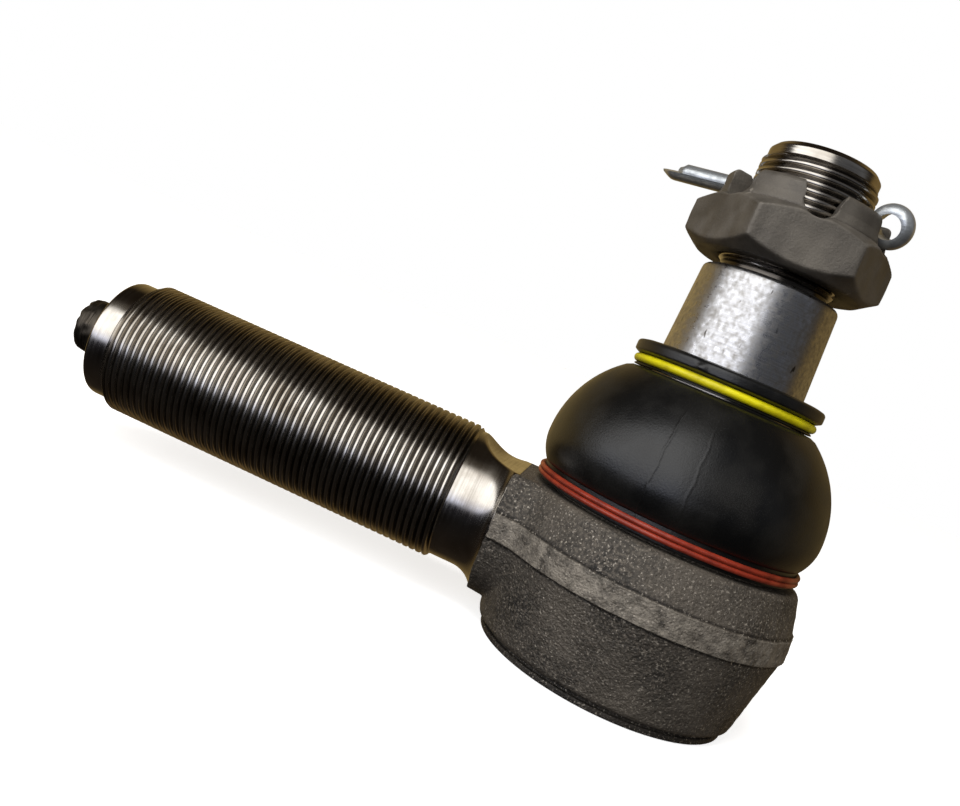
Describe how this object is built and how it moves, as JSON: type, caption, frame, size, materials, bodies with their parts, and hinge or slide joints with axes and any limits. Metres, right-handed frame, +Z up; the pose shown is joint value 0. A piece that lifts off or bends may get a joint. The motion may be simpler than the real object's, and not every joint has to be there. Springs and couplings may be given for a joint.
{
  "type": "tie rod end",
  "caption": "Ball joint for a steering linkage: forged head on a threaded shank, rubber boot, tapered stud, castle nut and split pin.",
  "frame": {"origin": "the ball's centre, where the shank's axis meets the ball stud's axis", "axes": "+Z up along the ball stud at rest, -X along the threaded shank, away from the ball"},
  "size_m": [0.1655, 0.0632, 0.1129],
  "materials": {
    "forged_steel": "as forged, dark scale, coarse grain",
    "machined_steel": "turned and oiled",
    "bearing_steel": "ground",
    "liner_plastic": "smooth",
    "boot_rubber": "satin black",
    "red_ring": "brick red, satin",
    "yellow_ring": "bright yellow, satin",
    "phosphated_steel": "phosphated, dull dark grey",
    "zinc_plated_steel": "bright zinc"
  },
  "bodies": {
    "housing": {"housing": "forged_steel", "upper_bearing_shell": "bearing_steel", "lower_bearing_shell": "bearing_steel", "pressure_ring": "bearing_steel", "disc_spring": "bearing_steel", "closing_cover": "machined_steel", "cover_seal": "boot_rubber", "boot": "boot_rubber", "lower_clamp_ring": "red_ring"},
    "swing_carrier": {"ball_liner": "liner_plastic"},
    "boot_head": {"boot_collar": "boot_rubber", "collar_insert": "machined_steel", "upper_clamp_ring": "yellow_ring"},
    "stud": {"ball_stud": "machined_steel", "castle_nut": "phosphated_steel"},
    "pin": {"split_pin": "zinc_plated_steel"}
  },
  "joints": [
    {"name": "lean_along_shank", "type": "hinge", "parent": "housing", "child": "swing_carrier", "pos_m": [0, 0, 0], "axis": [0, 1, 0], "range_deg": [-18, 18], "deforming": ["boot"]},
    {"name": "lean_across_shank", "type": "hinge", "parent": "swing_carrier", "child": "boot_head", "pos_m": [0, 0, 0], "axis": [1, 0, 0], "range_deg": [-18, 18]},
    {"name": "stud_spin", "type": "hinge", "parent": "boot_head", "child": "stud", "pos_m": [0, 0, 0], "axis": [0, 0, 1], "continuous": true},
    {"name": "pin_pull", "type": "slide", "parent": "stud", "child": "pin", "axis": [0.8829, -0.4695, 0], "range_m": [0, 0.05]}
  ]
}
